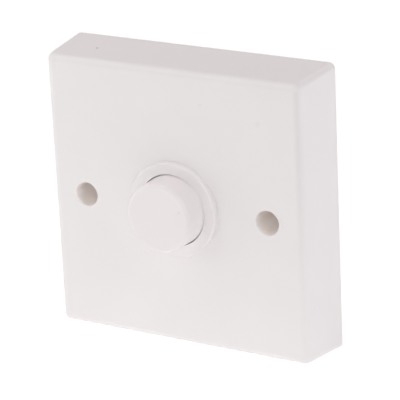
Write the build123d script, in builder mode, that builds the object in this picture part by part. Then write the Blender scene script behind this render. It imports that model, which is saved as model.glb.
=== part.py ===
from build123d import *
import os
from math import cos, radians, sin, sqrt, tan

os.makedirs("parts", exist_ok=True)

# Push button changeover switch on a square wall plate, in millimetres.
# X runs right, Y runs from the room into the wall and Z runs up.
# The origin is the middle of the plate's back, in the plane of the wall.

# Front plate
plate_side = 86.0
plate_depth = 18.8
side_draft = 4.4
edge_radius = 2.0
front_wall = 2.6
side_wall = 2.4
cavity_corner = 2.5

# Fixing holes and the pillars around them
fixing_centres = 60.3
fixing_hole_radius = 2.1
recess_radius = 3.75
recess_edge = 0.3
seat_thickness = 6.0
seat_angle = 90.0
pillar_wall = 1.8
rib_thickness = 1.6
rib_setback = 4.0

# Collar, its sleeve and its nut
collar_radius = 14.2
collar_height = 1.85
collar_edge_radius = 0.6
mouth_edge_radius = 0.12
lip_depth = 3.2
sleeve_wall = 1.2
sleeve_fit = 0.15
key_width = 2.0
key_height = 0.8
key_fit = 0.25
nut_width = 3.2
nut_thickness = 3.0
nut_fit = 0.05
nut_notches = 6
notch_width = 3.0
notch_depth = 1.2

# Button
button_radius = 10.5
button_height = 9.7
button_draft = 1.0
button_edge_radius = 1.1
button_wall = 1.6
button_face = 2.0
button_gap = 0.31
button_travel = 3.0
overtravel = 0.6
flange_width = 1.3
flange_thickness = 1.5
flange_fit = 0.45
stop_gap = 0.1
boss_wall = 1.6
boss_length = 4.0
stiffener_count = 6
stiffener_thickness = 1.0
stiffener_height = 5.0

# Plunger
spigot_radius = 1.8
spigot_length = 3.4
spigot_fit = 0.03
stem_radius = 2.5
stem_fit = 0.08
nose_radius = 1.5
free_play = 0.1

# Return spring around the plunger
return_wire = 0.7
return_radius = 4.9
return_turns = 6

# Contact housing
cover_thickness = 2.0
guide_wall = 1.3
guide_length = 3.0
post_side = 5.0
base_wall = 1.6
base_floor = 1.8
housing_edge = 0.8
rear_depth = 7.0
ear_radius = 3.6
ear_thickness = 2.6
ear_height = 12.0
ear_gap = 0.3
boss_margin = 0.4
turret_wall = 1.2
window_margin = 0.8

# Screws of the contact housing
screw_radius = 1.4
screw_fit = 0.05
screw_head_radius = 2.6
screw_head_height = 1.8
screw_bite = 3.5
screw_end_gap = 0.2
slot_width = 0.8
slot_depth = 0.9

# Terminals and their wire clamp screws
terminal_spacing = 18.0
block_width = 8.0
block_length = 9.0
block_fit = 0.15
block_wall = 2.0
wire_radius = 1.8
wire_depth = 8.0
thread_length = 2.4
clamp_radius = 2.0
clamp_length = 6.0
clamp_fit = 0.05
clamp_gap = 0.1
well_gap = 0.5

# Contact strips, arm and rivets
strip = 0.8
bend_radius = 1.0
tail_width = 6.0
strip_setback = 1.0
lever_drive = 13.0
contact_drop = 7.0
arm_width = 7.0
arm_end = 3.2
pin_radius = 0.8
pin_fit = 0.05
pin_overhang = 0.4
eye_wrap = 270.0
eye_gap = 0.15
ear_side_gap = 0.6
bracket_lip = 1.2
contact_radius = 2.0
contact_head = 0.8
contact_dome = 5.0
contact_gap = 0.05
pad_margin = 0.8
rivet_radius = 0.9
rivet_fit = 0.02

# Contact spring behind the arm
contact_wire = 0.4
contact_spring_radius = 2.0
contact_spring_turns = 7
contact_spring_height = 5.0
spring_seat_gap = 0.05
spigot_gap = 0.3
spring_peg_length = 2.0

# Levels along the depth, from the room towards the wall
front_y = -plate_depth
inner_y = front_y + front_wall
collar_top_y = front_y - collar_height
button_face_y = front_y - button_height
button_floor_y = button_face_y + button_face
boss_back_y = button_floor_y + boss_length
lip_back_y = collar_top_y + lip_depth
flange_front_y = lip_back_y + stop_gap
flange_back_y = flange_front_y + flange_thickness
cover_front_y = flange_back_y + button_travel + overtravel
cover_back_y = cover_front_y + cover_thickness
floor_y = rear_depth
base_back_y = floor_y + base_floor

# Radii about the button's axis
mouth_radius = button_radius + button_gap
flange_radius = button_radius + flange_width
sleeve_bore = flange_radius + flange_fit
sleeve_radius = sleeve_bore + sleeve_wall
boss_radius = spigot_radius + boss_wall
guide_bore = stem_radius + stem_fit
guide_radius = guide_bore + guide_wall

# Contact arm at rest, with its pivot above the plunger and its contact below
closed_front_y = cover_back_y + strip_setback
closed_back_y = closed_front_y + strip
closed_face_y = closed_back_y + contact_head
arm_front_y = closed_face_y + contact_gap + contact_head
arm_back_y = arm_front_y + strip
eye_radius = pin_radius + pin_fit + strip
eye_mean = eye_radius - strip / 2
pivot_y = arm_front_y + eye_radius
pivot_z = lever_drive
contact_z = -contact_drop
lever_contact = lever_drive + contact_drop

# Where the arm's rear contact face comes to with the button pressed
swing = button_travel / lever_drive
rear_offset = arm_back_y + contact_head - pivot_y
pressed_y = rear_offset * cos(swing) + lever_contact * sin(swing)
pressed_z = rear_offset * sin(swing) - lever_contact * cos(swing)
dome_reach = contact_dome + contact_gap + (lever_contact + pressed_z) * sin(swing)
open_face_y = pivot_y + pressed_y + dome_reach / cos(swing) - contact_dome
open_front_y = open_face_y + contact_head
open_back_y = open_front_y + strip

# Terminal blocks, at the same height above and below the button's axis
leg_z = pivot_z + eye_radius + eye_gap
leg_middle_z = leg_z + strip / 2
block_inner_z = leg_z + strip
block_outer_z = block_inner_z + block_length
terminal_z = (block_inner_z + block_outer_z) / 2
block_depth = block_wall + 2 * wire_radius + thread_length
block_front_y = floor_y - block_depth
wire_y = block_front_y + block_wall + wire_radius
clamp_tip_y = wire_y + wire_radius + clamp_gap
clamp_back_y = clamp_tip_y + clamp_length
turret_back_y = clamp_back_y + clamp_gap
terminal_x = terminal_spacing / 2
terminal_places = [(0, terminal_z), (-terminal_x, -terminal_z), (terminal_x, -terminal_z)]

# Outline of the contact housing and the places of its screws
bay_width = block_width + 2 * block_fit
bay_length = block_length + 2 * block_fit
chamber_width = terminal_spacing + bay_width
chamber_height = 2 * (block_inner_z + block_fit)
ear_x = chamber_width / 2 + base_wall + ear_radius + ear_gap
ear_span = 2 * (ear_x + ear_radius)
screw_hole_radius = screw_radius + screw_fit
ear_back_y = cover_back_y + ear_thickness
screw_tip_y = cover_front_y - screw_bite


def depth_plane(y):
    # a plane at depth y, with X to the right and Z up, that extrudes towards the room
    return Plane.XZ.offset(-y)


def side_plane(x):
    # a plane at x, with depth along its first axis and height along its second
    return Plane.YZ.offset(x)


def housing_pocket():
    Rectangle(chamber_width, chamber_height)
    with Locations(*terminal_places):
        Rectangle(bay_width, bay_length)


def housing_ears():
    with Locations((0, ear_height), (0, -ear_height)):
        SlotOverall(ear_span, 2 * ear_radius)


# Front plate: tapered shell, fixing pillars, screw bosses and the bore for the collar
pillar_radius = recess_radius + pillar_wall
plate_bore = sleeve_radius + sleeve_fit
boss_outer = ear_radius - boss_margin
cavity_side = plate_side - 2 * side_wall
rib_end = cavity_side / 2

with BuildPart() as front_plate:
    with BuildSketch(depth_plane(0)):
        Rectangle(plate_side, plate_side)
    extrude(amount=plate_depth, taper=side_draft)
    back_edges = front_plate.faces().sort_by(Axis.Y)[-1].edges()
    fillet(front_plate.edges() - back_edges, edge_radius)
    with BuildSketch(depth_plane(0)):
        RectangleRounded(cavity_side, cavity_side, cavity_corner)
    extrude(amount=plate_depth - front_wall, taper=side_draft, mode=Mode.SUBTRACT)
    with BuildSketch(depth_plane(0)):
        with GridLocations(fixing_centres, 1, 2, 1):
            Circle(pillar_radius)
    extrude(amount=plate_depth - front_wall / 2)
    with BuildSketch(depth_plane(-rib_setback)):
        for side in (-1, 1):
            with Locations((side * (fixing_centres / 2 + rib_end) / 2, 0)):
                Rectangle(rib_end - fixing_centres / 2, rib_thickness)
    extrude(amount=plate_depth - front_wall / 2 - rib_setback)
    with BuildSketch(depth_plane(cover_front_y)):
        with GridLocations(2 * ear_x, 2 * ear_height, 2, 2):
            Circle(boss_outer)
    extrude(amount=cover_front_y - inner_y + front_wall / 2)
    with Locations(depth_plane(cover_front_y)):
        with GridLocations(2 * ear_x, 2 * ear_height, 2, 2):
            with Locations(Rotation(180, 0, 0)):
                Hole(screw_hole_radius, screw_bite + screw_end_gap)
    with Locations(depth_plane(-seat_thickness)):
        with GridLocations(fixing_centres, 1, 2, 1):
            CounterSinkHole(fixing_hole_radius, recess_radius, plate_depth, seat_angle)
    with Locations(depth_plane(front_y)):
        Hole(plate_bore, front_wall)
    mouths = front_plate.faces().sort_by(Axis.Y)[0].edges().filter_by(GeomType.CIRCLE)
    fillet(mouths.sort_by(SortBy.RADIUS)[:2], recess_edge)

# Guide collar: ring on the plate's face, lip around the button and sleeve behind it
with BuildPart() as guide_collar:
    with BuildSketch(Plane.XY):
        Polygon(
            (mouth_radius, collar_top_y),
            (collar_radius, collar_top_y),
            (collar_radius, front_y),
            (sleeve_radius, front_y),
            (sleeve_radius, cover_front_y),
            (sleeve_bore, cover_front_y),
            (sleeve_bore, lip_back_y),
            (mouth_radius, lip_back_y),
            align=None,
        )
    revolve(axis=Axis.Y)
    top_edges = guide_collar.edges().group_by(Axis.Y)[0].sort_by(SortBy.RADIUS)
    fillet(top_edges[-1], collar_edge_radius)
    fillet(guide_collar.edges().group_by(Axis.Y)[0].sort_by(SortBy.RADIUS)[0], mouth_edge_radius)
    key_top = sleeve_bore - key_height
    key_root = sleeve_bore + sleeve_wall / 2
    with BuildSketch(depth_plane(cover_front_y)):
        with Locations((0, (key_top + key_root) / 2), (0, -(key_top + key_root) / 2)):
            Rectangle(key_width, key_root - key_top)
    extrude(amount=cover_front_y - lip_back_y)

# Ring nut behind the plate's front wall, with notches for a spanner
nut_radius = sleeve_radius + nut_width
with BuildPart() as collar_nut:
    with BuildSketch(depth_plane(inner_y + nut_thickness)):
        Circle(nut_radius)
        Circle(sleeve_radius + nut_fit, mode=Mode.SUBTRACT)
        with PolarLocations(nut_radius, nut_notches):
            Rectangle(2 * notch_depth, notch_width, mode=Mode.SUBTRACT)
    extrude(amount=nut_thickness)

# Push button: drafted cup with a flange at its rim and a boss for the plunger
draft_slope = tan(radians(button_draft))
button_top_radius = button_radius - (flange_front_y - button_face_y) * draft_slope
cup_rim_radius = button_radius - button_wall
cup_floor_radius = cup_rim_radius - (flange_back_y - button_floor_y) * draft_slope
stiffener_inner = return_radius + return_wire + spigot_gap
with BuildPart() as push_button:
    with BuildSketch(Plane.XY):
        Polygon(
            (0, button_face_y),
            (button_top_radius, button_face_y),
            (button_radius, flange_front_y),
            (flange_radius, flange_front_y),
            (flange_radius, flange_back_y),
            (cup_rim_radius, flange_back_y),
            (cup_floor_radius, button_floor_y),
            (boss_radius, button_floor_y),
            (boss_radius, boss_back_y),
            (spigot_radius + spigot_fit, boss_back_y),
            (spigot_radius + spigot_fit, boss_back_y - spigot_length - spigot_fit),
            (0, boss_back_y - spigot_length - spigot_fit),
            align=None,
        )
    revolve(axis=Axis.Y)
    fillet(push_button.edges().group_by(Axis.Y)[0], button_edge_radius)
    with BuildSketch(depth_plane(button_floor_y + stiffener_height)):
        with PolarLocations((stiffener_inner + cup_floor_radius) / 2, stiffener_count):
            Rectangle(cup_floor_radius - stiffener_inner + button_wall / 2, stiffener_thickness)
    extrude(amount=stiffener_height + button_face / 2)
    with BuildSketch(depth_plane(flange_back_y)):
        with Locations((0, flange_radius), (0, -flange_radius)):
            Rectangle(key_width + 2 * key_fit, 2 * (key_height + key_fit))
    extrude(amount=flange_thickness, mode=Mode.SUBTRACT)

# Plunger: spigot in the button's boss, stem through the cover and a rounded nose at the arm
nose_y = arm_front_y - free_play
with BuildPart() as plunger:
    with BuildSketch(Plane.XY):
        with BuildLine():
            Polyline(
                (0, nose_y - nose_radius),
                (0, boss_back_y - spigot_length),
                (spigot_radius, boss_back_y - spigot_length),
                (spigot_radius, boss_back_y),
                (stem_radius, boss_back_y),
                (stem_radius, nose_y - nose_radius - (stem_radius - nose_radius)),
                (nose_radius, nose_y - nose_radius),
            )
            CenterArc((0, nose_y - nose_radius), nose_radius, 0, 90)
            Line((0, nose_y), (0, nose_y - nose_radius))
        make_face()
    revolve(axis=Axis.Y)


def coil_spring(front, back, height, radius, wire, turns):
    # a round wire wound about the depth axis, with its end turns against the two seats
    length = back - front - wire
    with BuildPart() as spring:
        with BuildLine():
            coil = Helix(length / turns, length, radius, (0, front + wire / 2, height), (0, 1, 0))
        with BuildSketch(Plane(coil @ 0, z_dir=coil % 0)):
            Circle(wire / 2)
        sweep(path=coil, is_frenet=True)
    return spring


# Return spring between the button and the cover
return_spring = coil_spring(
    button_floor_y, cover_front_y, 0, return_radius, return_wire, return_turns
)

# Cover of the contact housing, with the plunger's guide and posts that hold the terminals down
with BuildPart() as mechanism_cover:
    with BuildSketch(depth_plane(cover_back_y)):
        housing_pocket()
        offset(amount=base_wall)
        housing_ears()
    extrude(amount=cover_thickness)
    with BuildSketch(depth_plane(cover_front_y)):
        Circle(guide_radius)
    extrude(amount=guide_length)
    with BuildSketch(depth_plane(block_front_y)):
        with Locations(*terminal_places):
            Rectangle(post_side, post_side)
    extrude(amount=block_front_y - cover_back_y)
    with Locations(depth_plane(cover_front_y - guide_length)):
        Hole(guide_bore, guide_length + cover_thickness)
    with Locations(depth_plane(cover_front_y)):
        with GridLocations(2 * ear_x, 2 * ear_height, 2, 2):
            Hole(screw_hole_radius, cover_thickness)

# Base of the contact housing, with bays for the terminals and a turret around each clamp screw
well_radius = clamp_radius + well_gap
window_radius = wire_radius + window_margin
peg_radius = contact_spring_radius - contact_wire / 2 - spigot_gap
with BuildPart() as mechanism_base:
    with BuildSketch(depth_plane(base_back_y)):
        housing_pocket()
        offset(amount=base_wall)
    extrude(amount=base_back_y - cover_back_y)
    fillet(mechanism_base.faces().sort_by(Axis.Y)[-1].edges(), housing_edge)
    with BuildSketch(depth_plane(ear_back_y)):
        housing_ears()
    extrude(amount=ear_thickness)
    with BuildSketch(depth_plane(turret_back_y)):
        with Locations(*terminal_places):
            Circle(well_radius + turret_wall)
    extrude(amount=turret_back_y - base_back_y)
    with BuildSketch(depth_plane(floor_y)):
        housing_pocket()
    extrude(amount=floor_y - cover_back_y, mode=Mode.SUBTRACT)
    with BuildSketch(depth_plane(floor_y)):
        with Locations((0, contact_spring_height)):
            Circle(peg_radius)
    extrude(amount=spring_peg_length)
    with BuildSketch(depth_plane(turret_back_y)):
        with Locations(*terminal_places):
            Circle(well_radius)
    extrude(amount=turret_back_y - floor_y, mode=Mode.SUBTRACT)
    for x, z in terminal_places:
        outer_z = block_inner_z if z > 0 else -block_inner_z
        with BuildSketch(Plane.XY.offset(outer_z)):
            with Locations((x, wire_y)):
                Circle(window_radius)
        reach = block_length + block_fit + base_wall
        extrude(amount=reach if z > 0 else -reach, mode=Mode.SUBTRACT)
    with Locations(depth_plane(cover_back_y)):
        with GridLocations(2 * ear_x, 2 * ear_height, 2, 2):
            Hole(screw_hole_radius, ear_thickness)

# Four screws from the back, through base and cover into the plate's bosses
with BuildPart() as mechanism_screws:
    with BuildSketch(depth_plane(ear_back_y)):
        with GridLocations(2 * ear_x, 2 * ear_height, 2, 2):
            Circle(screw_radius)
    extrude(amount=ear_back_y - screw_tip_y)
    with BuildSketch(depth_plane(ear_back_y + screw_head_height)):
        with GridLocations(2 * ear_x, 2 * ear_height, 2, 2):
            Circle(screw_head_radius)
    extrude(amount=screw_head_height)
    with BuildSketch(depth_plane(ear_back_y + screw_head_height)):
        with GridLocations(2 * ear_x, 2 * ear_height, 2, 2):
            Rectangle(2 * screw_head_radius, slot_width)
    extrude(amount=slot_depth, mode=Mode.SUBTRACT)


def terminal_block(x, side):
    # brass block with a wire hole from its outer end and a clamp screw hole from its back
    with BuildPart() as block:
        with BuildSketch(depth_plane(floor_y)):
            with Locations((x, side * terminal_z)):
                Rectangle(block_width, block_length)
        extrude(amount=block_depth)
        with BuildSketch(depth_plane(floor_y)):
            with Locations((x, side * terminal_z)):
                Circle(clamp_radius + clamp_fit)
        extrude(amount=floor_y - wire_y, mode=Mode.SUBTRACT)
        with BuildSketch(Plane.XY.offset(side * block_outer_z)):
            with Locations((x, wire_y)):
                Circle(wire_radius)
        extrude(amount=-side * wire_depth, mode=Mode.SUBTRACT)
    return block.part


def contact_terminal(side, strip_y):
    # block below the arm, with a strip bent from its inner end up to a pad at the arm's contact
    x = side * terminal_x
    outer_x = x + side * tail_width / 2
    inner_x = -side * pad_side
    with BuildPart() as terminal:
        add(terminal_block(x, -1))
        with BuildSketch(side_plane(x)):
            with BuildLine():
                FilletPolyline(
                    (floor_y, -leg_middle_z),
                    (strip_y, -leg_middle_z),
                    (strip_y, contact_z + pad_side),
                    radius=bend_radius,
                )
            trace(line_width=strip)
        extrude(amount=tail_width / 2, both=True)
        with BuildSketch(depth_plane(strip_y + strip / 2)):
            with Locations(((outer_x + inner_x) / 2, contact_z)):
                Rectangle(abs(outer_x - inner_x), 2 * pad_side)
        extrude(amount=strip)
        with BuildSketch(depth_plane(strip_y + strip / 2)):
            with Locations((0, contact_z)):
                Circle(rivet_radius + rivet_fit)
        extrude(amount=strip, mode=Mode.SUBTRACT)
    return terminal


# Terminals of the closed contact, in front of the arm, and of the open contact, behind it
pad_side = contact_radius + pad_margin
closed_terminal = contact_terminal(-1, closed_front_y + strip / 2)
open_terminal = contact_terminal(1, open_front_y + strip / 2)

# Common terminal, with a bracket whose two ears hold the arm's pivot pin
bracket_inner = arm_width / 2 + ear_side_gap
bracket_outer = bracket_inner + strip
bracket_front_y = pivot_y - pin_radius - bracket_lip
bracket_back_y = pivot_y + pin_radius + bracket_lip
bracket_low_z = pivot_z - pin_radius - bracket_lip
with BuildPart() as common_terminal:
    add(terminal_block(0, 1))
    with BuildSketch(Plane.XY.offset(leg_z)):
        with Locations((0, (bracket_front_y + floor_y) / 2)):
            Rectangle(2 * bracket_outer, floor_y - bracket_front_y)
    extrude(amount=strip)
    for side in (-1, 1):
        with BuildSketch(side_plane(side * (bracket_inner + bracket_outer) / 2)):
            with Locations(((bracket_front_y + bracket_back_y) / 2, (bracket_low_z + block_inner_z) / 2)):
                Rectangle(bracket_back_y - bracket_front_y, block_inner_z - bracket_low_z)
            with Locations((pivot_y, pivot_z)):
                Circle(pin_radius + pin_fit, mode=Mode.SUBTRACT)
        extrude(amount=strip / 2, both=True)

# Three clamp screws, backed off so that the wire holes are free
with BuildPart() as terminal_screws:
    with BuildSketch(depth_plane(clamp_back_y)):
        with Locations(*terminal_places):
            Circle(clamp_radius)
    extrude(amount=clamp_length)
    with BuildSketch(depth_plane(clamp_back_y)):
        with Locations(*terminal_places):
            Rectangle(2 * clamp_radius, slot_width)
    extrude(amount=slot_depth, mode=Mode.SUBTRACT)

# Pivot pin across the bracket
with BuildPart() as pivot_pin:
    with BuildSketch(side_plane(0)):
        with Locations((pivot_y, pivot_z)):
            Circle(pin_radius)
    extrude(amount=bracket_outer + pin_overhang, both=True)

# Contact arm: strip with an eye curled round the pin and a hole for its rivet
with BuildPart() as contact_arm:
    with BuildSketch(side_plane(0)):
        with BuildLine():
            Line((arm_front_y + strip / 2, contact_z - arm_end), (arm_front_y + strip / 2, pivot_z))
            CenterArc((pivot_y, pivot_z), eye_mean, 180, -eye_wrap)
        trace(line_width=strip)
    extrude(amount=arm_width / 2, both=True)
    with BuildSketch(depth_plane(arm_back_y)):
        with Locations((0, contact_z)):
            Circle(rivet_radius + rivet_fit)
    extrude(amount=strip, mode=Mode.SUBTRACT)

# Moving contact: rivet with a flat face on both sides of the arm
contact_axis = Axis((0, 0, contact_z), (0, 1, 0))
contact_plane = Plane.XY.offset(contact_z)
with BuildPart() as moving_contact:
    with BuildSketch(contact_plane):
        Polygon(
            (0, arm_front_y - contact_head),
            (contact_radius, arm_front_y - contact_head),
            (contact_radius, arm_front_y),
            (rivet_radius, arm_front_y),
            (rivet_radius, arm_back_y),
            (contact_radius, arm_back_y),
            (contact_radius, arm_back_y + contact_head),
            (0, arm_back_y + contact_head),
            align=None,
        )
    revolve(axis=contact_axis)


def fixed_contact(far_y, near_y, face_y):
    # rivet through a terminal's pad, with a domed face towards the arm
    dome_drop = contact_dome - sqrt(contact_dome**2 - contact_radius**2)
    facing = 1 if face_y > near_y else -1
    with BuildPart() as contact:
        with BuildSketch(contact_plane):
            with BuildLine():
                Polyline(
                    (0, face_y),
                    (0, far_y),
                    (rivet_radius, far_y),
                    (rivet_radius, near_y),
                    (contact_radius, near_y),
                    (contact_radius, face_y - facing * dome_drop),
                )
                RadiusArc(
                    (contact_radius, face_y - facing * dome_drop),
                    (0, face_y),
                    -facing * contact_dome,
                )
            make_face()
        revolve(axis=contact_axis)
    return contact


closed_contact = fixed_contact(closed_front_y, closed_back_y, closed_face_y)
open_contact = fixed_contact(open_back_y, open_front_y, open_face_y)

# Contact spring between the base's floor and the arm
contact_spring = coil_spring(
    arm_back_y + spring_seat_gap,
    floor_y,
    contact_spring_height,
    contact_spring_radius,
    contact_wire,
    contact_spring_turns,
)

sub_parts = {
    "front_plate": front_plate,
    "guide_collar": guide_collar,
    "collar_nut": collar_nut,
    "push_button": push_button,
    "plunger": plunger,
    "return_spring": return_spring,
    "mechanism_cover": mechanism_cover,
    "mechanism_base": mechanism_base,
    "mechanism_screws": mechanism_screws,
    "common_terminal": common_terminal,
    "closed_terminal": closed_terminal,
    "open_terminal": open_terminal,
    "terminal_screws": terminal_screws,
    "pivot_pin": pivot_pin,
    "contact_arm": contact_arm,
    "moving_contact": moving_contact,
    "closed_contact": closed_contact,
    "open_contact": open_contact,
    "contact_spring": contact_spring,
}
for name, sub_part in sub_parts.items():
    sub_part.part.label = name
    export_step(sub_part.part, f"parts/{name}.step")
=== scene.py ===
import math

import bpy
import numpy as np
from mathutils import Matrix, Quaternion, Vector


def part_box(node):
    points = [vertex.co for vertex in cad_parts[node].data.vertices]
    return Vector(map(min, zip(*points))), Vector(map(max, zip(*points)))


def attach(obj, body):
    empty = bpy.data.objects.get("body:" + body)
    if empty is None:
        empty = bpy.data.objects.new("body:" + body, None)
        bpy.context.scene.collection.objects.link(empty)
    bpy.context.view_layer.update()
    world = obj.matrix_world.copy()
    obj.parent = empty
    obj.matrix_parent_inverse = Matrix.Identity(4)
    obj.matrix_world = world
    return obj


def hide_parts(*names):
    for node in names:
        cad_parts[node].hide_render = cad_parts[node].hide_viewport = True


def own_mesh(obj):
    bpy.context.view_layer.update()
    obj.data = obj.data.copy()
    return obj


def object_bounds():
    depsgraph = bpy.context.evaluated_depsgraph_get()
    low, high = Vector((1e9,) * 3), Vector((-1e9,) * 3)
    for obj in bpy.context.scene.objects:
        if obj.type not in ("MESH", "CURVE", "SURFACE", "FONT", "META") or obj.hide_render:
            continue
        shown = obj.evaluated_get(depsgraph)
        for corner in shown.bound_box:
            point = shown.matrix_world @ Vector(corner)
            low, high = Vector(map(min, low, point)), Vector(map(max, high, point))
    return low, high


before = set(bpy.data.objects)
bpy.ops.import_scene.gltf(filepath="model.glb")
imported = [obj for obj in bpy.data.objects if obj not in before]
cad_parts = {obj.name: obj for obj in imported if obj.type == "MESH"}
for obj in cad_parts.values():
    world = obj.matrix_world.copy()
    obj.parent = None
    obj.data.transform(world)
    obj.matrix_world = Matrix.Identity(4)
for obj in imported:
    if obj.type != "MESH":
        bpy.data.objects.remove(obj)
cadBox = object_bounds()

mm = 0.001

# Settings that many nodes share, and the sockets of a colour mix
smoothStep = {"interpolation_type": "SMOOTHSTEP"}
colourMix = {"data_type": "RGBA"}
mixShare, mixFirst, mixSecond, mixResult = 0, 6, 7, 2


def hexToLinear(colour):
    # sRGB hex such as #e6e1e0, to linear red, green, blue and alpha
    channels = [int(colour[i:i + 2], 16) / 255 for i in (1, 3, 5)]
    return [c / 12.92 if c <= 0.04045 else ((c + 0.055) / 1.055) ** 2.4 for c in channels] + [1.0]


def perMillimetre(size):
    # texture scale that makes one feature this many millimetres wide
    return 1000.0 / size


def addNode(tree, kind, settings, inputs):
    # settings are the node's own properties, inputs are numbers, colours or sockets to link from
    node = tree.nodes.new(kind)
    for name, value in settings.items():
        setattr(node, name, value)
    for name, value in inputs.items():
        if isinstance(value, bpy.types.NodeSocket):
            tree.links.new(value, node.inputs[name])
        else:
            node.inputs[name].default_value = value
    return node


def newMaterial(name):
    material = bpy.data.materials.new(name)
    material.use_nodes = True
    material.node_tree.nodes.clear()
    return material, material.node_tree


def giveMaterial(material, *nodeNames):
    for name in nodeNames:
        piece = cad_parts[name]
        if not piece.material_slots:
            piece.data.materials.append(material)
        for materialSlot in piece.material_slots:
            materialSlot.material = material


# Camera: a long lens to the right of the button and a little above it, turned by a small roll
view = {
    "place": (334.617, -548.632, 226.768),  # mm
    "aim": (-1.596, -2.297, -3.115),        # mm
    "roll": -2.744,                         # degrees
    "lens": 209.93,                         # mm
    "sensor": 36.0,                         # mm
    "clip": (0.01, 50.0),                   # m
}


def makeCamera(view):
    camera = bpy.data.objects.new("camera", bpy.data.cameras.new("camera"))
    bpy.context.scene.collection.objects.link(camera)
    place = Vector(view["place"]) * mm
    aim = Vector(view["aim"]) * mm
    roll = Quaternion((0, 0, 1), math.radians(view["roll"]))
    camera.location = place
    camera.rotation_mode = "QUATERNION"
    camera.rotation_quaternion = (aim - place).to_track_quat("-Z", "Y") @ roll
    camera.data.lens = view["lens"]
    camera.data.sensor_width = view["sensor"]
    camera.data.clip_start, camera.data.clip_end = view["clip"]
    bpy.context.scene.camera = camera


makeCamera(view)
print("camera set")

# Lamps: soft square boxes aimed at the part's middle, white unless they have a colour. Around is degrees
# from the front towards the right, above is degrees up, away and size are m.
lamps = {
    "lampCamera": {"around": 31.7, "above": 20, "away": 1.2, "size": 0.3, "watts": 2.54},
    "lampFront": {"around": -25, "above": 30, "away": 1.2, "size": 0.7, "watts": 2.24},
    "lampLeftWide": {"around": -75, "above": 40, "away": 1.2, "size": 1.8, "watts": 2.16},
    "lampLeftHigh": {"around": -57, "above": 52, "away": 1.2, "size": 0.35, "watts": 0.54},
    "lampLeftNear": {"around": -75, "above": 35, "away": 0.4, "size": 0.3, "watts": 0.164},
    "lampLeftLow": {"around": -60, "above": 3, "away": 0.35, "size": 0.15, "watts": 0.126},
    "lampRight": {"around": 75, "above": 35, "away": 1.2, "size": 0.7, "watts": 2.90},
    "lampRightLow": {"around": 115, "above": 3, "away": 0.35, "size": 0.15, "watts": 0.158,
                     "colour": "#f0f7ff"},
    "lampBehind": {"around": 180, "above": 6, "away": 1.2, "size": 0.5, "watts": 4.92},
    "lampBack": {"around": 172, "above": 45, "away": 1.2, "size": 0.7, "watts": 1.88,
                 "colour": "#ffecf0"},
    "lampTop": {"around": 0, "above": 85, "away": 1.2, "size": 0.7, "watts": 3.09,
                "colour": "#fff0f2"},
}
surround = {
    "white": "#ffffff",
    "ambient": 0.0,             # strength of the room's own light on the part
    "floorWidth": 6.0,          # m
    "floorCells": 8,            # along each side
    "paper": "#f4f3f2",
    "paperRoughness": 0.9,
    "paperSheen": 0.1,          # specular level
    "fibre": 0.6,               # mm, width of a paper fibre, drawn coarser than real
    "fibreHeight": 0.02,        # mm
    "fibreShare": 0.05,         # share of that height that shades the paper
    "floorGlow": 0.5,           # strength that the picture of the floor gets on top of the lamps
    "whiteReach": (0.25, 0.9),  # m from the part's middle over which that picture turns plain white
    "tableGlow": 0.187,         # strength that the lit table throws up at the part
    "nearGlow": 0.217,          # what it throws up besides, close to the part
    "nearReach": (0.05, 0.40),  # m from the part's middle over which that fades
    "footShade": 0.8,           # share of both that is left at the part's foot
    "footReach": 0.010,         # m from the foot over which that shade fades
}


def makeLamp(name, lamp):
    data = bpy.data.lights.new(name, "AREA")
    data.shape = "SQUARE"
    data.size = lamp["size"]
    data.energy = lamp["watts"]
    data.color = hexToLinear(lamp.get("colour", surround["white"]))[:3]
    light = bpy.data.objects.new(name, data)
    bpy.context.scene.collection.objects.link(light)
    around, above = math.radians(lamp["around"]), math.radians(lamp["above"])
    outwards = Vector((
        math.sin(around) * math.cos(above),
        -math.cos(around) * math.cos(above),
        math.sin(above),
    ))
    light.location = outwards * lamp["away"]
    light.rotation_mode = "QUATERNION"
    light.rotation_quaternion = outwards.to_track_quat("Z", "Y")


def seenDirectly(tree):
    # 1 for rays that show the background itself: from the camera, a mirror or through glass
    path = addNode(tree, "ShaderNodeLightPath", {}, {})
    either = addNode(tree, "ShaderNodeMath", {"operation": "MAXIMUM"},
                     {0: path.outputs["Is Camera Ray"], 1: path.outputs["Is Glossy Ray"]})
    oneOfThree = addNode(tree, "ShaderNodeMath", {"operation": "MAXIMUM"},
                         {0: either.outputs[0], 1: path.outputs["Is Transmission Ray"]})
    return oneOfThree.outputs[0]


def makeSurround(surround):
    world = bpy.data.worlds.new("whiteStudio")
    world.use_nodes = True
    tree = world.node_tree
    tree.nodes.clear()
    strength = addNode(tree, "ShaderNodeMapRange", {},
                       {"Value": seenDirectly(tree), "To Min": surround["ambient"], "To Max": 1.0})
    light = addNode(tree, "ShaderNodeBackground", {},
                    {"Color": hexToLinear(surround["white"]), "Strength": strength.outputs["Result"]})
    addNode(tree, "ShaderNodeOutputWorld", {}, {"Surface": light.outputs[0]})
    bpy.context.scene.world = world


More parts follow.
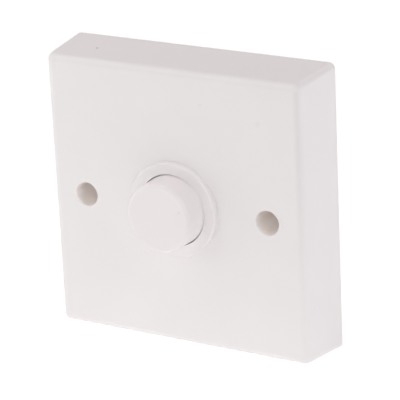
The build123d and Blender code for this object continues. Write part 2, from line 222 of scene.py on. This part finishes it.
def shadeAtFoot(tree, place, surround):
    # share of light by the distance from the plate's foot, the rectangle that it stands on
    low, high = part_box("front_plate")
    middle, half = (low + high) / 2, (high - low) / 2
    fromMiddle = addNode(tree, "ShaderNodeVectorMath", {"operation": "SUBTRACT"},
                         {0: place, 1: (middle.x, middle.y, low.z)})
    eitherWay = addNode(tree, "ShaderNodeVectorMath", {"operation": "ABSOLUTE"}, {0: fromMiddle.outputs[0]})
    beyond = addNode(tree, "ShaderNodeVectorMath", {"operation": "SUBTRACT"},
                     {0: eitherWay.outputs[0], 1: (half.x, half.y, 0.0)})
    outside = addNode(tree, "ShaderNodeVectorMath", {"operation": "MAXIMUM"},
                      {0: beyond.outputs[0], 1: (0.0, 0.0, 0.0)})
    fromFoot = addNode(tree, "ShaderNodeVectorMath", {"operation": "LENGTH"}, {0: outside.outputs[0]})
    shade = addNode(tree, "ShaderNodeMapRange", smoothStep,
                    {"Value": fromFoot.outputs["Value"], "From Min": 0.0, "From Max": surround["footReach"],
                     "To Min": surround["footShade"], "To Max": 1.0})
    return shade.outputs["Result"]


def paperGlow(tree, place, surround):
    # one strength for the picture of the floor, and one for the light that it throws at the part
    away = addNode(tree, "ShaderNodeVectorMath", {"operation": "LENGTH"}, {0: place})
    nearReach, whiteReach = surround["nearReach"], surround["whiteReach"]
    thrown = addNode(tree, "ShaderNodeMapRange", smoothStep,
                     {"Value": away.outputs["Value"], "From Min": nearReach[0], "From Max": nearReach[1],
                      "To Min": surround["tableGlow"] + surround["nearGlow"],
                      "To Max": surround["tableGlow"]})
    shaded = addNode(tree, "ShaderNodeMath", {"operation": "MULTIPLY"},
                     {0: thrown.outputs["Result"], 1: shadeAtFoot(tree, place, surround)})
    shown = addNode(tree, "ShaderNodeMapRange", smoothStep,
                    {"Value": away.outputs["Value"], "From Min": whiteReach[0], "From Max": whiteReach[1],
                     "To Min": surround["floorGlow"], "To Max": 1.0})
    glow = addNode(tree, "ShaderNodeMapRange", {},
                   {"Value": seenDirectly(tree), "To Min": shaded.outputs[0],
                    "To Max": shown.outputs["Result"]})
    return glow.outputs["Result"]


def whitePaper(name, surround):
    # its glow keeps it white in the picture, and the part's shadow still lies on it
    material, tree = newMaterial(name)
    place = addNode(tree, "ShaderNodeTexCoord", {}, {}).outputs["Object"]
    fibres = addNode(tree, "ShaderNodeTexNoise", {},
                     {"Vector": place, "Scale": perMillimetre(surround["fibre"]), "Detail": 3.0})
    bump = addNode(tree, "ShaderNodeBump", {},
                   {"Height": fibres.outputs[0], "Strength": surround["fibreShare"],
                    "Distance": surround["fibreHeight"] * mm})
    shader = addNode(tree, "ShaderNodeBsdfPrincipled", {},
                     {"Base Color": hexToLinear(surround["paper"]), "Roughness": surround["paperRoughness"],
                      "Specular IOR Level": surround["paperSheen"], "Normal": bump.outputs[0],
                      "Emission Color": hexToLinear(surround["white"]),
                      "Emission Strength": paperGlow(tree, place, surround)})
    addNode(tree, "ShaderNodeOutputMaterial", {}, {"Surface": shader.outputs[0]})
    return material


def makeFloor(surround):
    # level square grid at the height of the part's foot
    cells = surround["floorCells"]
    lines = cells + 1
    half = surround["floorWidth"] / 2
    across = np.linspace(-half, half, lines)
    gridX, gridY = np.meshgrid(across, across, indexing="ij")
    points = np.stack([gridX, gridY, np.full_like(gridX, cadBox[0].z)], axis=-1).reshape(-1, 3)
    corner = (np.arange(cells)[:, None] * lines + np.arange(cells)[None, :]).reshape(-1)
    faces = np.stack([corner, corner + lines, corner + lines + 1, corner + 1], axis=1)
    mesh = bpy.data.meshes.new("floor")
    mesh.from_pydata(points.tolist(), [], faces.tolist())
    mesh.materials.append(whitePaper("whitePaper", surround))
    floor = bpy.data.objects.new("floor", mesh)
    bpy.context.scene.collection.objects.link(floor)


# Dark flags: cards of black cloth that only show as dark lines in the gloss of the rounded edges, with
# their corners in mm
flags = {
    "flagFloor": ((55, -130, -42.5), (60, -800, -42.5), (800, -420, -42.5), (170, -50, -42.5)),
    "flagLeft": ((-530, -480, 60), (-230, -650, 60), (-230, -650, 370), (-530, -480, 370)),
}


def darkCloth(name):
    # gives back no light at all
    material, tree = newMaterial(name)
    shader = addNode(tree, "ShaderNodeEmission", {}, {"Color": hexToLinear("#000000"), "Strength": 0.0})
    addNode(tree, "ShaderNodeOutputMaterial", {}, {"Surface": shader.outputs[0]})
    return material


def makeFlag(name, corners, material):
    mesh = bpy.data.meshes.new(name)
    mesh.from_pydata([[v * mm for v in corner] for corner in corners], [], [(0, 1, 2, 3)])
    mesh.materials.append(material)
    card = bpy.data.objects.new(name, mesh)
    bpy.context.scene.collection.objects.link(card)
    card.visible_camera = False
    card.visible_diffuse = False
    card.visible_transmission = False
    card.visible_shadow = False


blackCloth = darkCloth("blackCloth")
for flagName, flagCorners in flags.items():
    makeFlag(flagName, flagCorners, blackCloth)
for lampName, lamp in lamps.items():
    makeLamp(lampName, lamp)
makeSurround(surround)
makeFloor(surround)
bpy.context.scene.view_settings.view_transform = "Standard"
print("studio set:", len(lamps), "lamps")

# White moulding of plate and collar: urea pressed in a polished steel mould, so it is smooth and even,
# with a soft gloss, a very slight orange peel and no grain
plateLook = {
    "colour": "#f1eeee",
    "shade": "#eeebeb",
    "patch": 16.0,              # mm, size of the faint tone changes
    "roughness": (0.29, 0.34),
    "peel": 1.1,                # mm, width of one swell of the orange peel
    "peelHeight": 0.0015,       # mm
    "ior": 1.54,
    "holeSpacing": 60.3,        # mm between the fixing holes
    "holeRim": (3.7, 4.2),      # mm from a hole's axis over which the painted light fades out
    "holeDepth": (-0.1, 0.8),   # mm below the face over which the painted light comes in
    "holeTone": "#fff1eb",      # painted light: warm and pale in the wells, standing in for light that soaks through the thick pillars
    "soak": (8.5, 7.2, 6.4),    # mm that red, green and blue light soaks along a hole's wall
    "mouthRim": (10.85, 11.1),  # mm from the button's axis over which the painted light fades out
    "paintedGapLight": "#fffdfa",     # painted light: pale at the thin edges beside the gap, which brightens the crevice
    "specks": (                 # place in mm, radius in mm and tone of each dark speck
        ((-29.10, -10.23, 42.21), 0.36, "#86777c"),
        ((9.95, -18.8, 32.18), 0.60, "#ebe7e7"),
        ((28.31, -18.8, 28.72), 1.00, "#ece8e8"),
    ),
}
# The button is the same white, from a mould with a finer polish
buttonLook = {
    "colour": "#f2eeee",
    "shade": "#f0ecec",
    "patch": 9.0,
    "roughness": (0.29, 0.33),
    "peel": 0.9,
    "peelHeight": 0.001,
    "ior": 1.54,
    "mouthDepth": (-0.25, 0.05),  # mm below the collar's top over which the painted light comes in
    # painted light: pale on the button's side within the gap, which brightens the crevice
    "paintedGapLight": "#fffdfa",
    "specks": (
        ((7.25, -28.5, 2.89), 0.55, "#ebe7e7"),
    ),
}
flowSpan = (0.3, 0.7)  # stretch of the noise that takes the gloss from one end to the other
flowsInPatch = 4       # clouds of gloss across one cloud of tone
speckCore = 0.6        # share of a speck's radius that has its full tone


def mouldedSkin(tree, place, look):
    # faint clouds in tone and gloss, and the swell that a mould leaves
    clouds = addNode(tree, "ShaderNodeTexNoise", {},
                     {"Vector": place, "Scale": perMillimetre(look["patch"]), "Detail": 2.0})
    colour = addNode(tree, "ShaderNodeMix", colourMix,
                     {mixShare: clouds.outputs[0], mixFirst: hexToLinear(look["shade"]),
                      mixSecond: hexToLinear(look["colour"])})
    flow = addNode(tree, "ShaderNodeTexNoise", {},
                   {"Vector": place, "Scale": perMillimetre(look["patch"] / flowsInPatch), "Detail": 3.0})
    gloss = addNode(tree, "ShaderNodeMapRange", {},
                    {"Value": flow.outputs[0], "From Min": flowSpan[0], "From Max": flowSpan[1],
                     "To Min": look["roughness"][0], "To Max": look["roughness"][1]})
    peel = addNode(tree, "ShaderNodeTexNoise", {},
                   {"Vector": place, "Scale": perMillimetre(look["peel"]), "Detail": 2.0})
    swell = addNode(tree, "ShaderNodeBump", {},
                    {"Height": peel.outputs[0], "Strength": 1.0, "Distance": look["peelHeight"] * mm})
    return colour.outputs[mixResult], gloss.outputs["Result"], swell.outputs[0]


def specked(tree, place, colour, specks):
    # each speck is a soft round spot, by the distance from its middle
    for middle, radius, tone in specks:
        away = addNode(tree, "ShaderNodeVectorMath", {"operation": "DISTANCE"},
                       {0: place, 1: [v * mm for v in middle]})
        spot = addNode(tree, "ShaderNodeMapRange", smoothStep,
                       {"Value": away.outputs["Value"], "From Min": speckCore * radius * mm,
                        "From Max": radius * mm, "To Min": 1.0, "To Max": 0.0})
        colour = addNode(tree, "ShaderNodeMix", colourMix,
                         {mixShare: spot.outputs["Result"], mixFirst: colour,
                          mixSecond: hexToLinear(tone)}).outputs[mixResult]
    return colour


def plasticShader(tree, look, colour, gloss, swell, soakShare=0.0):
    shader = addNode(tree, "ShaderNodeBsdfPrincipled", {},
                     {"Base Color": colour, "Roughness": gloss, "IOR": look["ior"], "Normal": swell,
                      "Subsurface Weight": soakShare, "Subsurface Scale": mm,
                      "Subsurface Radius": look.get("soak", (1.0, 1.0, 1.0))})
    addNode(tree, "ShaderNodeOutputMaterial", {}, {"Surface": shader.outputs[0]})


def plainMoulding(name, look):
    material, tree = newMaterial(name)
    place = addNode(tree, "ShaderNodeTexCoord", {}, {}).outputs["Object"]
    plasticShader(tree, look, *mouldedSkin(tree, place, look))
    return material


def buttonMoulding(name, look):
    material, tree = newMaterial(name)
    place = addNode(tree, "ShaderNodeTexCoord", {}, {}).outputs["Object"]
    colour, gloss, swell = mouldedSkin(tree, place, look)
    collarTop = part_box("guide_collar")[0].y
    axes = addNode(tree, "ShaderNodeSeparateXYZ", {}, {0: place})
    deep = addNode(tree, "ShaderNodeMapRange", smoothStep,
                   {"Value": axes.outputs["Y"], "From Min": collarTop + look["mouthDepth"][0] * mm,
                    "From Max": collarTop + look["mouthDepth"][1] * mm})
    # painted light: paler on the button's side below the collar's top
    colour = addNode(tree, "ShaderNodeMix", colourMix,
                     {mixShare: deep.outputs["Result"], mixFirst: colour,
                      mixSecond: hexToLinear(look["paintedGapLight"])}).outputs[mixResult]
    colour = specked(tree, place, colour, look["specks"])
    plasticShader(tree, look, colour, gloss, swell)
    return material


def insideMouth(tree, axes, look):
    # 1 inside the collar's mouth, by the distance from the button's axis; it places the painted light
    # beside the gap
    fromAxis = addNode(tree, "ShaderNodeCombineXYZ", {}, {"X": axes.outputs["X"], "Z": axes.outputs["Z"]})
    reach = addNode(tree, "ShaderNodeVectorMath", {"operation": "LENGTH"}, {0: fromAxis.outputs[0]})
    lip = addNode(tree, "ShaderNodeMapRange", smoothStep,
                  {"Value": reach.outputs["Value"], "From Min": look["mouthRim"][0] * mm,
                   "From Max": look["mouthRim"][1] * mm, "To Min": 1.0, "To Max": 0.0})
    return lip.outputs["Result"]


def insideHoles(tree, axes, look):
    # 1 inside a fixing hole, by the distance from the nearer hole's axis and the depth below the face; it
    # places the painted light in the holes
    sideways = addNode(tree, "ShaderNodeMath", {"operation": "ABSOLUTE"}, {0: axes.outputs["X"]})
    offAxis = addNode(tree, "ShaderNodeMath", {"operation": "SUBTRACT"},
                      {0: sideways.outputs[0], 1: look["holeSpacing"] / 2 * mm})
    across = addNode(tree, "ShaderNodeCombineXYZ", {}, {"X": offAxis.outputs[0], "Z": axes.outputs["Z"]})
    reach = addNode(tree, "ShaderNodeVectorMath", {"operation": "LENGTH"}, {0: across.outputs[0]})
    near = addNode(tree, "ShaderNodeMapRange", smoothStep,
                   {"Value": reach.outputs["Value"], "From Min": look["holeRim"][0] * mm,
                    "From Max": look["holeRim"][1] * mm, "To Min": 1.0, "To Max": 0.0})
    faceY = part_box("front_plate")[0].y
    deep = addNode(tree, "ShaderNodeMapRange", smoothStep,
                   {"Value": axes.outputs["Y"], "From Min": faceY + look["holeDepth"][0] * mm,
                    "From Max": faceY + look["holeDepth"][1] * mm})
    both = addNode(tree, "ShaderNodeMath", {"operation": "MULTIPLY"},
                   {0: near.outputs["Result"], 1: deep.outputs["Result"]})
    return both.outputs[0]


def plateMoulding(name, look):
    material, tree = newMaterial(name)
    place = addNode(tree, "ShaderNodeTexCoord", {}, {}).outputs["Object"]
    colour, gloss, swell = mouldedSkin(tree, place, look)
    axes = addNode(tree, "ShaderNodeSeparateXYZ", {}, {0: place})
    # painted light: paler on the walls of the collar's mouth beside the gap
    colour = addNode(tree, "ShaderNodeMix", colourMix,
                     {mixShare: insideMouth(tree, axes, look), mixFirst: colour,
                      mixSecond: hexToLinear(look["paintedGapLight"])}).outputs[mixResult]
    # painted light: warm and pale in the fixing holes; the same share also turns on subsurface scattering
    # there
    warm = insideHoles(tree, axes, look)
    colour = addNode(tree, "ShaderNodeMix", colourMix,
                     {mixShare: warm, mixFirst: colour,
                      mixSecond: hexToLinear(look["holeTone"])}).outputs[mixResult]
    colour = specked(tree, place, colour, look["specks"])
    plasticShader(tree, look, colour, gloss, swell, warm)
    return material


pressMoulding = plateMoulding("ureaPressMoulded", plateLook)
giveMaterial(pressMoulding, "guide_collar")
fineMoulding = buttonMoulding("ureaFineMoulded", buttonLook)

# Nylon of the contact housing and the ring nut: injection moulded, off white, with the fine matt grain
# of a spark eroded mould and cloudy flow marks
housingLook = {
    "colour": "#dedad0",
    "shade": "#d3cec2",
    "patch": 7.0,
    "roughness": (0.48, 0.60),
    "peel": 0.35,               # mm, spark grain, drawn about twice as coarse as real so that it shows
    "peelHeight": 0.012,
    "ior": 1.53,
}
nutLook = {
    "colour": "#e4e1d9",
    "shade": "#dbd7cd",
    "patch": 5.0,
    "roughness": (0.42, 0.52),
    "peel": 0.35,
    "peelHeight": 0.008,
    "ior": 1.53,
}
# Acetal of the plunger: natural white, waxy and smooth
plungerLook = {
    "colour": "#ecebe5",
    "shade": "#e5e3dc",
    "patch": 4.0,
    "roughness": (0.26, 0.34),
    "peel": 0.6,
    "peelHeight": 0.002,
    "ior": 1.48,
}
giveMaterial(plainMoulding("nylonGrainMoulded", housingLook), "mechanism_base", "mechanism_cover")
giveMaterial(plainMoulding("nylonMoulded", nutLook), "collar_nut")
giveMaterial(plainMoulding("acetalMoulded", plungerLook), "plunger")
print("mouldings painted")

# Brass of terminals and arm: stamped from rolled strip, so it is yellow and bright, with fine rolling lines
# along the strip and a light brown tarnish in patches
brassLook = {
    "colour": "#d9b76c",
    "shade": "#b98f48",
    "patch": 3.5,                # mm, size of the tarnish patches
    "roughness": (0.20, 0.36),
    "line": (0.12, 6.0),         # mm, width and length of a rolling line
    "lineHeight": 0.002,         # mm
}
# Fine silver of the contacts: pressed, pale, with a soft grey bloom
silverLook = {
    "colour": "#e8e5de",
    "shade": "#bdb6a8",
    "patch": 0.9,
    "roughness": (0.18, 0.34),
    "line": (0.08, 0.3),
    "lineHeight": 0.001,
}
# Zinc plated steel of screws and pin: bright drawn steel under a thin bluish zinc skin
zincLook = {
    "colour": "#c3c8cd",
    "shade": "#a9a9a2",
    "patch": 1.6,
    "roughness": (0.24, 0.40),
    "line": (0.10, 1.2),
    "lineHeight": 0.002,
}
bloomSpan = (0.35, 0.65)  # stretch of the noise that takes a metal from its shade to its colour


def metalShader(tree, look, colour, gloss, lines):
    ridges = addNode(tree, "ShaderNodeBump", {},
                     {"Height": lines, "Strength": 1.0, "Distance": look["lineHeight"] * mm})
    shader = addNode(tree, "ShaderNodeBsdfPrincipled", {},
                     {"Base Color": colour, "Metallic": 1.0, "Roughness": gloss,
                      "Normal": ridges.outputs[0]})
    addNode(tree, "ShaderNodeOutputMaterial", {}, {"Surface": shader.outputs[0]})


def metalSkin(name, look):
    material, tree = newMaterial(name)
    place = addNode(tree, "ShaderNodeTexCoord", {}, {}).outputs["Object"]
    bloom = addNode(tree, "ShaderNodeTexNoise", {},
                    {"Vector": place, "Scale": perMillimetre(look["patch"]), "Detail": 4.0})
    share = addNode(tree, "ShaderNodeMapRange", {},
                    {"Value": bloom.outputs[0], "From Min": bloomSpan[0], "From Max": bloomSpan[1]})
    colour = addNode(tree, "ShaderNodeMix", colourMix,
                     {mixShare: share.outputs["Result"], mixFirst: hexToLinear(look["shade"]),
                      mixSecond: hexToLinear(look["colour"])})
    gloss = addNode(tree, "ShaderNodeMapRange", {},
                    {"Value": share.outputs["Result"], "To Min": look["roughness"][1],
                     "To Max": look["roughness"][0]})
    width, length = look["line"]
    stretched = addNode(tree, "ShaderNodeMapping", {},
                        {"Vector": place,
                         "Scale": (perMillimetre(width), perMillimetre(width), perMillimetre(length))})
    lines = addNode(tree, "ShaderNodeTexNoise", {},
                    {"Vector": stretched.outputs[0], "Scale": 1.0, "Detail": 2.0})
    metalShader(tree, look, colour.outputs[mixResult], gloss.outputs["Result"], lines.outputs[0])
    return material


zincPlate = metalSkin("steelZincPlated", zincLook)
giveMaterial(metalSkin("brassRolledStrip", brassLook),
             "common_terminal", "closed_terminal", "open_terminal", "contact_arm")
giveMaterial(metalSkin("silverPressed", silverLook), "moving_contact", "closed_contact", "open_contact")
giveMaterial(zincPlate, "pivot_pin", "mechanism_screws", "terminal_screws")

# Spring wire: drawn carbon steel, dark grey, with fine die lines along the wire and an oily sheen
wireLook = {
    "colour": "#9a9a9b",
    "shade": "#77767a",
    "line": (2.5, 0.06),         # mm, length and width of a die line
    "lineHeight": 0.002,         # mm
    "roughness": (0.26, 0.40),
}


def drawnWire(name, look):
    material, tree = newMaterial(name)
    place = addNode(tree, "ShaderNodeUVMap", {"uv_map": "alongWire"}, {}).outputs[0]
    length, width = look["line"]
    stretched = addNode(tree, "ShaderNodeMapping", {},
                        {"Vector": place, "Scale": (perMillimetre(length), perMillimetre(width), 1.0)})
    lines = addNode(tree, "ShaderNodeTexNoise", {},
                    {"Vector": stretched.outputs[0], "Scale": 1.0, "Detail": 3.0})
    colour = addNode(tree, "ShaderNodeMix", colourMix,
                     {mixShare: lines.outputs[0], mixFirst: hexToLinear(look["shade"]),
                      mixSecond: hexToLinear(look["colour"])})
    gloss = addNode(tree, "ShaderNodeMapRange", {},
                    {"Value": lines.outputs[0], "To Min": look["roughness"][0],
                     "To Max": look["roughness"][1]})
    metalShader(tree, look, colour.outputs[mixResult], gloss.outputs["Result"], lines.outputs[0])
    return material


springWire = drawnWire("steelDrawnWire", wireLook)
print("metals painted")

sharpAngle = 38    # degrees, faces that meet more steeply keep a sharp edge
mergeGrid = 0.001  # mm, points that round to the same place on this grid are one


def addPiece(name, points, faces, material, normals=None):
    mesh = bpy.data.meshes.new(name)
    mesh.from_pydata(points.tolist(), [], faces)
    mesh.polygons.foreach_set("use_smooth", np.ones(len(faces), dtype=bool))
    mesh.set_sharp_from_angle(angle=math.radians(sharpAngle))
    mesh.materials.append(material)
    if normals is not None:
        mesh.normals_split_custom_set(normals.reshape(-1, 3).tolist())
    piece = bpy.data.objects.new(name, mesh)
    bpy.context.scene.collection.objects.link(piece)
    return piece


def mergedSkin(node):
    # copy of a piece's skin with its double points merged: points, triangles and the normal at each corner
    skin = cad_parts[node].data
    places = np.empty(len(skin.vertices) * 3, dtype=np.float32)
    skin.vertices.foreach_get("co", places)
    corners = np.empty(len(skin.loops), dtype=np.int32)
    skin.loops.foreach_get("vertex_index", corners)
    normals = np.empty(len(skin.loops) * 3, dtype=np.float32)
    skin.corner_normals.foreach_get("vector", normals)
    places = places.reshape(-1, 3)
    grid = np.round(places / (mergeGrid * mm)).astype(np.int64)
    first, merged = np.unique(grid, axis=0, return_index=True, return_inverse=True)[1:]
    faces = merged.reshape(-1)[corners].reshape(-1, 3)
    whole = (faces[:, 0] != faces[:, 1]) & (faces[:, 1] != faces[:, 2]) & (faces[:, 2] != faces[:, 0])
    return places[first].astype(float), faces[whole], normals.reshape(-1, 3, 3)[whole]


# Rounds of the plate in mm: first as in the solids, then as they are here
plateEdges = {
    "edge": (2.0, 2.5),      # front edges
    "corner": (2.0, 1.8),    # corners between the sides
    "rim": (0.3, 0.4),       # rims of the fixing holes
    "well": (3.75, 3.6),     # radius of the fixing holes' wells
    "seatRadius": 2.1,       # mm, screw hole at the foot of a well
    "draft": 4.4,            # degrees, taper of the sides
    "roundMargin": 1.03,     # a round's zone reaches this many times as far as the round
    "wallMargin": 1.001,     # a wall's zone reaches this many times as far as the wall
}
leastShare = 1e-6  # a share that divides is at least this
leastReach = 0.1   # mm, a distance from a hole's axis that divides is at least this


def roundEdges(points, soft, low, high):
    # A round of another size stands in the same corner of two faces, so each point's distances from both
    # faces grow by one factor. Where three edges meet, the two factors blend by the way the round faces.
    across, depth, upright = points.T
    taper = math.tan(math.radians(soft["draft"]))
    before, after = soft["edge"]
    cornerBefore, cornerAfter = soft["corner"]
    growth, cornerGrowth = after / before, cornerAfter / cornerBefore
    zone = soft["roundMargin"] * before * mm
    # distances from the face, the nearer side and the nearer end
    fromFace = depth - low.y
    halfWidth = high.x - (high.y - depth) * taper
    fromSide = halfWidth - np.abs(across)
    fromEnd = halfWidth - np.abs(upright)
    nearFace, nearSide, nearEnd = fromFace < zone, fromSide < zone, fromEnd < zone
    forwards, sideways, endways = (
        np.clip(1 - away / (before * mm), 0, 1) for away in (fromFace, fromSide, fromEnd))
    blendSide = forwards / np.maximum(forwards + endways, leastShare)
    blendEnd = forwards / np.maximum(forwards + sideways, leastShare)
    sideGrowth = cornerGrowth + (growth - cornerGrowth) * blendSide
    endGrowth = cornerGrowth + (growth - cornerGrowth) * blendEnd
    newDepth = np.where(nearFace & (nearSide | nearEnd), low.y + growth * fromFace, depth)
    newHalf = high.x - (high.y - newDepth) * taper
    sideEdge, endEdge = nearSide & (nearFace | nearEnd), nearEnd & (nearFace | nearSide)
    newAcross = np.where(sideEdge, np.sign(across) * (newHalf - sideGrowth * fromSide), across)
    newUpright = np.where(endEdge, np.sign(upright) * (newHalf - endGrowth * fromEnd), upright)
    return np.stack([newAcross, newDepth, newUpright], axis=-1)


def narrowWells(points, soft, low):
    # Round each hole's axis, a rim's distances from wall and face grow by one factor, and a well's distance
    # from the axis shrinks evenly between the screw hole and its wall.
    across, depth, upright = points.T
    before, after = soft["rim"]
    growth = after / before
    oldWell, newWell, seat = soft["well"][0] * mm, soft["well"][1] * mm, soft["seatRadius"] * mm
    zone = soft["roundMargin"] * before * mm
    fromFace = depth - low.y
    axis = np.sign(across) * plateLook["holeSpacing"] / 2 * mm
    reach = np.hypot(across - axis, upright)
    rim = (reach < oldWell + zone) & (fromFace < zone)
    well = (reach < soft["wallMargin"] * oldWell) & (reach > soft["wallMargin"] * seat) & ~rim
    newReach = np.where(rim, newWell + growth * (reach - oldWell), reach)
    newReach = np.where(well, seat + (reach - seat) * (newWell - seat) / (oldWell - seat), newReach)
    stretch = newReach / np.maximum(reach, leastReach * mm)
    newAcross = np.where(rim | well, axis + (across - axis) * stretch, across)
    newUpright = np.where(rim | well, upright * stretch, upright)
    newDepth = np.where(rim, low.y + growth * fromFace, depth)
    return np.stack([newAcross, newDepth, newUpright], axis=-1)


def softPlate(name, soft, material):
    points, faces, normals = mergedSkin("front_plate")
    low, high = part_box("front_plate")
    points = narrowWells(roundEdges(points, soft, low, high), soft, low)
    piece = addPiece(name, points, faces.tolist(), material, normals)
    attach(piece, "plate")
    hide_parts("front_plate")


softPlate("plateShell", plateEdges, pressMoulding)
print("plate edges rounded")

# The button rests against one side of its mouth, by as much play as it has there
buttonRest = {
    "play": 0.26,               # mm off the axis
    "towards": (0.883, 0.469),  # right and up
    "hold": (4.0, 9.0),         # mm from the axis over which the shift comes in, so the boss stays put
}


def leaningButton(name, rest, material):
    # Each point of the button's skin moves sideways by the play times a smooth step of its distance from
    # the axis.
    points, faces, normals = mergedSkin("push_button")
    near, far = rest["hold"]
    ease = np.clip((np.hypot(points[:, 0], points[:, 2]) / mm - near) / (far - near), 0, 1)
    shift = rest["play"] * mm * ease * ease * (3 - 2 * ease)
    points[:, 0] += shift * rest["towards"][0]
    points[:, 2] += shift * rest["towards"][1]
    piece = addPiece(name, points, faces.tolist(), material, normals)
    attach(piece, "button")
    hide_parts("push_button")


leaningButton("buttonCap", buttonRest, fineMoulding)
print("button set in its mouth")

# Springs: the turns at each end lie closed and are ground flat
coils = {
    "returnCoil": {
        "node": "return_spring",
        "joint": "button_press",
        "travel": 3.0,   # mm that it is squeezed by
        "wire": 0.7,     # mm
        "turns": 6.0,
        "closed": 1.0,   # turns at each end
        "steps": 56,     # rings of points in a turn
        "around": 16,    # points in a ring
    },
    "contactCoil": {
        "node": "contact_spring",
        "joint": "arm_tilt",
        "travel": 2.45,
        "wire": 0.4,
        "turns": 7.0,
        "closed": 1.0,
        "steps": 40,
        "around": 14,
    },
}
pitchChange = 0.6   # turns over which the pitch changes
closedWires = 1.04  # pitch of a closed turn, in wires


def ringFaces(rows, columns):
    # quads between neighbouring rings of a grid whose columns close on themselves
    row, column = np.meshgrid(np.arange(rows - 1), np.arange(columns), indexing="ij")
    after = (column + 1) % columns
    corners = [row * columns + column, row * columns + after,
               (row + 1) * columns + after, (row + 1) * columns + column]
    return np.stack(corners, axis=-1).reshape(-1, 4)


def mapWire(piece, coil, rows, radius):
    # map of the wire's skin in metres: along the wire, and round it
    columns = coil["around"]
    row, column = np.meshgrid(np.arange(rows - 1), np.arange(columns), indexing="ij")
    rowCorners = np.stack([row, row, row + 1, row + 1], axis=-1).reshape(-1)
    columnCorners = np.stack([column, column + 1, column + 1, column], axis=-1).reshape(-1)
    skin = np.stack([
        rowCorners * 2 * np.pi * radius / coil["steps"],
        columnCorners * np.pi * coil["wire"] * mm / columns,
    ], axis=-1)
    ends = np.zeros((2 * columns, 2))
    uvLayer = piece.data.uv_layers.new(name="alongWire")
    uvLayer.data.foreach_set("uv", np.concatenate([skin, ends]).astype(np.float32).reshape(-1))


def coilPiece(name, coil, material):
    # The wire's centre goes round the depth axis and climbs with its turn: about one wire a turn in the
    # closed ends, evenly between them, with a smooth change. The skin is a circle carried along it, cut at
    # the seats.
    low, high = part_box(coil["node"])
    wire = coil["wire"] * mm
    radius = (high.x - low.x) / 2 - wire / 2
    centreX, centreZ = (low.x + high.x) / 2, (low.z + high.z) / 2
    rows, columns = int(coil["turns"] * coil["steps"]) + 1, coil["around"]
    turn = np.linspace(0, coil["turns"], rows)
    fromEnd = np.minimum(turn, coil["turns"] - turn) - coil["closed"] + pitchChange / 2
    ease = np.clip(fromEnd / pitchChange, 0, 1)
    openShare = ease * ease * (3 - 2 * ease)
    step = turn[1] - turn[0]
    between = (openShare[1:] + openShare[:-1]) / 2
    closedPitch = closedWires * wire
    length = high.y - low.y
    openPitch = (length - closedPitch * np.sum(1 - between) * step) / (np.sum(between) * step)
    climb = step * (closedPitch + (openPitch - closedPitch) * between)
    along = low.y + np.concatenate([[0], np.cumsum(climb)])
    angle = 2 * np.pi * turn[:, None]
    around = 2 * np.pi * np.arange(columns)[None, :] / columns
    reach = radius + wire / 2 * np.cos(around)
    points = np.stack([
        centreX + reach * np.cos(angle),
        np.clip(along[:, None] + wire / 2 * np.sin(around), low.y, high.y),
        centreZ + reach * np.sin(angle),
    ], axis=-1).reshape(-1, 3)
    ends = [list(range(columns))[::-1], list(range((rows - 1) * columns, rows * columns))]
    piece = addPiece(name, points, ringFaces(rows, columns).tolist() + ends, material)
    mapWire(piece, coil, rows, radius)
    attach(piece, "plate")
    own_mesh(piece)
    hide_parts(coil["node"])


for coilName, coil in coils.items():
    coilPiece(coilName, coil, springWire)
print("springs wound:", len(coils))
